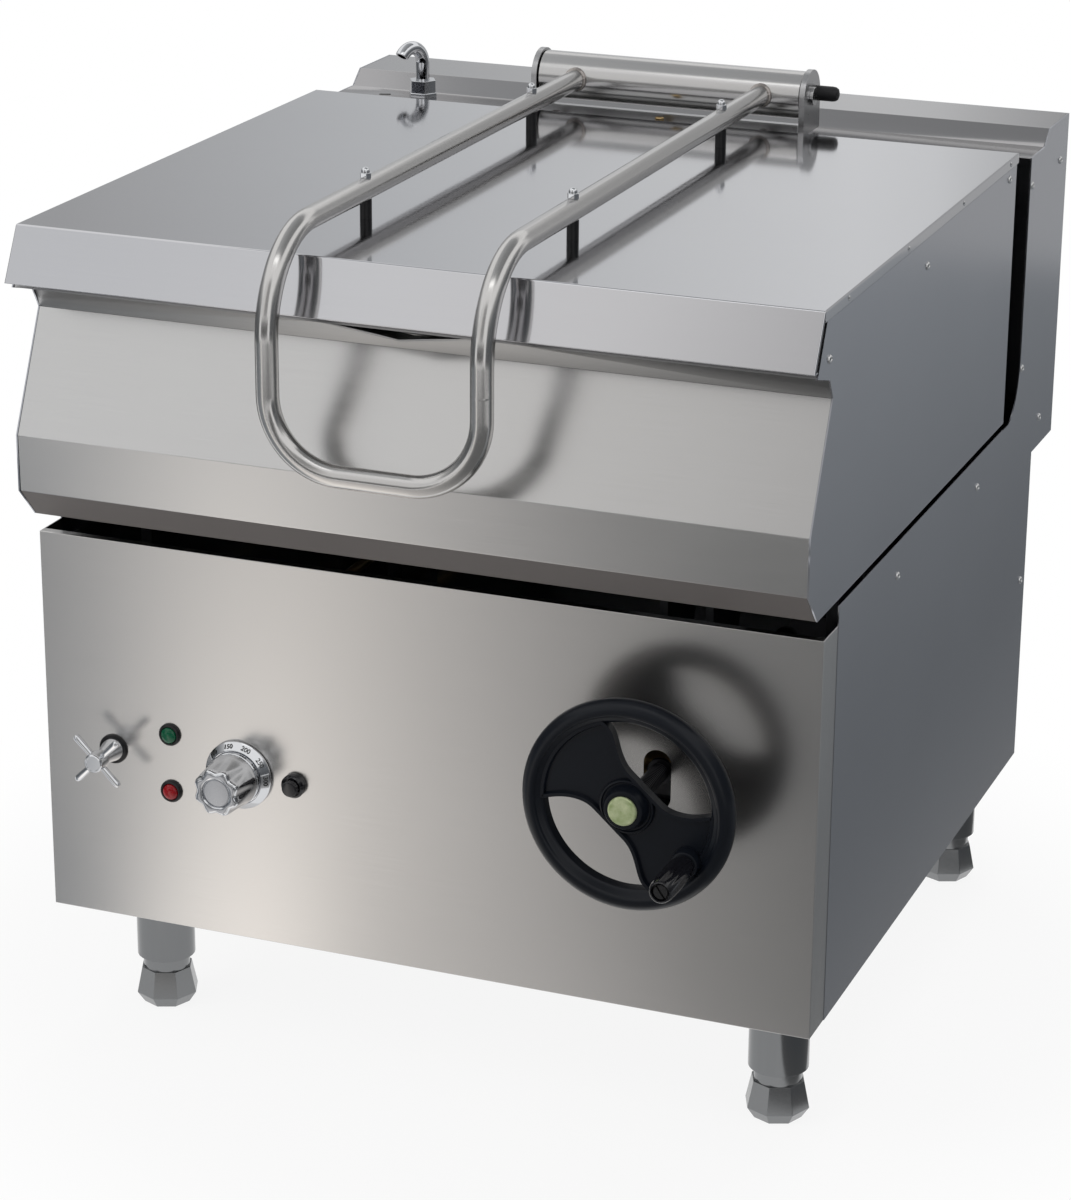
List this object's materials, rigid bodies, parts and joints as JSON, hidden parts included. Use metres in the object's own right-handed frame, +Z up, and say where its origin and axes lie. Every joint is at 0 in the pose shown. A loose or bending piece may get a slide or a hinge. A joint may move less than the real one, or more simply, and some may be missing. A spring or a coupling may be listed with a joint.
{
  "type": "tilting bratt pan",
  "caption": "Tilting bratt pan on a steel cabinet: deep lidded pan with a front pouring lip, tipped forward by a handwheel spindle, with knob, lamps, water valve and tap.",
  "frame": {"origin": "on the floor under the middle of the whole object's box, foot soles at z = 0", "axes": "+Z up, +X to the right of someone facing the controls, controls and pouring lip face -Y"},
  "size_m": [0.804, 1.006, 0.911],
  "materials": {
    "frame_steel": "satin",
    "side_steel": "satin",
    "brushed_steel": "brushed",
    "pan_steel": "satin",
    "leg_steel": "satin",
    "brass": "machined",
    "rubber": "matt",
    "black_plastic": "moulded",
    "wheel_plastic": "semi-gloss moulded",
    "chrome": "polished",
    "green_lens": "clear moulded",
    "red_lens": "clear moulded",
    "zinc": "yellow-green passivated zinc",
    "polished_steel": "polished stainless steel"
  },
  "bodies": {
    "base": {"base_frame": "frame_steel", "side_panel_left": "side_steel", "side_panel_right": "side_steel", "front_panel": "brushed_steel", "back_panel": "side_steel", "floor_tray": "brushed_steel", "column_cover": "brushed_steel", "column_back": "side_steel", "leg_tubes": "leg_steel", "pivot_brackets": "frame_steel", "pivot_bushes": "brass", "swing_stand": "frame_steel", "rest_pads": "rubber", "terminal_box": "black_plastic", "cable_gland": "black_plastic", "water_pipe": "brass", "valve_body": "chrome", "tap_nuts": "chrome", "lamp_bezels": "black_plastic", "green_lens": "green_lens", "red_lens": "red_lens", "thermostat": "chrome", "button_housing": "black_plastic", "panel_screws": "polished_steel"},
    "swing_block": {"swing_block": "brass"},
    "handwheel": {"tilt_spindle": "polished_steel", "handwheel": "wheel_plastic", "hub_cap": "zinc", "grip_bolt": "polished_steel"},
    "wheel_grip": {"wheel_grip": "wheel_plastic"},
    "spindle_nut": {"spindle_nut": "brass"},
    "pan": {"pan_tub": "pan_steel", "front_casing": "brushed_steel", "side_cover_left": "side_steel", "side_cover_right": "side_steel", "rear_casing": "side_steel", "bottom_casing": "side_steel", "heating_elements": "frame_steel", "pivot_pins": "polished_steel", "nut_ears": "frame_steel", "hinge_bracket": "polished_steel", "hinge_bolts": "polished_steel", "hinge_pins": "polished_steel", "hinge_buffer": "rubber", "cover_screws": "polished_steel"},
    "lid": {"lid_shell": "brushed_steel", "hinge_tube": "polished_steel", "lid_handle": "polished_steel", "post_sleeves": "black_plastic", "dome_nuts": "polished_steel"},
    "valve_handle": {"valve_handle": "chrome"},
    "tap_spout": {"tap_spout": "chrome"},
    "knob": {"knob_dial": "chrome", "thermostat_knob": "chrome"},
    "push_button": {"push_button": "black_plastic"},
    "foot_front_left": {"foot_front_left": "leg_steel"},
    "foot_front_right": {"foot_front_right": "leg_steel"},
    "foot_back_left": {"foot_back_left": "leg_steel"},
    "foot_back_right": {"foot_back_right": "leg_steel"}
  },
  "joints": [
    {"name": "pan_tilt", "type": "hinge", "parent": "base", "child": "pan", "pos_m": [0, -0.287, 0.65], "axis": [1, 0, 0], "range_deg": [0, 60]},
    {"name": "block_swing", "type": "hinge", "parent": "base", "child": "swing_block", "pos_m": [0.2435, -0.321, 0.39], "axis": [1, 0, 0], "range_deg": [0, 30]},
    {"name": "handwheel_turn", "type": "hinge", "parent": "swing_block", "child": "handwheel", "pos_m": [0.2435, -0.321, 0.39], "axis": [0, -1, 0], "range_deg": [0, 7200]},
    {"name": "grip_spin", "type": "hinge", "parent": "handwheel", "child": "wheel_grip", "pos_m": [0.3026, -0.425, 0.34547], "axis": [0, -1, 0], "continuous": true},
    {"name": "nut_pivot", "type": "hinge", "parent": "pan", "child": "spindle_nut", "pos_m": [0.2435, -0.253, 0.39], "axis": [1, 0, 0], "range_deg": [-30, 0]},
    {"name": "lid_open", "type": "hinge", "parent": "pan", "child": "lid", "pos_m": [0, 0.358, 0.883], "axis": [-1, 0, 0], "range_deg": [0, 80]},
    {"name": "valve_turn", "type": "hinge", "parent": "base", "child": "valve_handle", "pos_m": [-0.326, -0.347, 0.326], "axis": [0, -1, 0], "range_deg": [0, 720]},
    {"name": "spout_swivel", "type": "hinge", "parent": "base", "child": "tap_spout", "pos_m": [-0.3045, 0.379, 0.87], "axis": [0, 0, 1], "range_deg": [-70, 110]},
    {"name": "knob_turn", "type": "hinge", "parent": "base", "child": "knob", "pos_m": [-0.188, -0.347, 0.321], "axis": [0, 1, 0], "range_deg": [0, 270]},
    {"name": "button_press", "type": "slide", "parent": "base", "child": "push_button", "axis": [0, 1, 0], "range_m": [0, 0.004], "stiffness_N_per_m": 400},
    {"name": "foot_front_left_adjust", "type": "slide", "parent": "base", "child": "foot_front_left", "axis": [0, 0, -1], "range_m": [0, 0.025]},
    {"name": "foot_front_right_adjust", "type": "slide", "parent": "base", "child": "foot_front_right", "axis": [0, 0, -1], "range_m": [0, 0.025]},
    {"name": "foot_back_left_adjust", "type": "slide", "parent": "base", "child": "foot_back_left", "axis": [0, 0, -1], "range_m": [0, 0.025]},
    {"name": "foot_back_right_adjust", "type": "slide", "parent": "base", "child": "foot_back_right", "axis": [0, 0, -1], "range_m": [0, 0.025]}
  ],
  "couplings": [
    {"joint": "block_swing", "follows": "pan_tilt", "ratio": 0.5},
    {"joint": "handwheel_turn", "follows": "pan_tilt", "ratio": 120},
    {"joint": "nut_pivot", "follows": "pan_tilt", "ratio": -0.5}
  ]
}
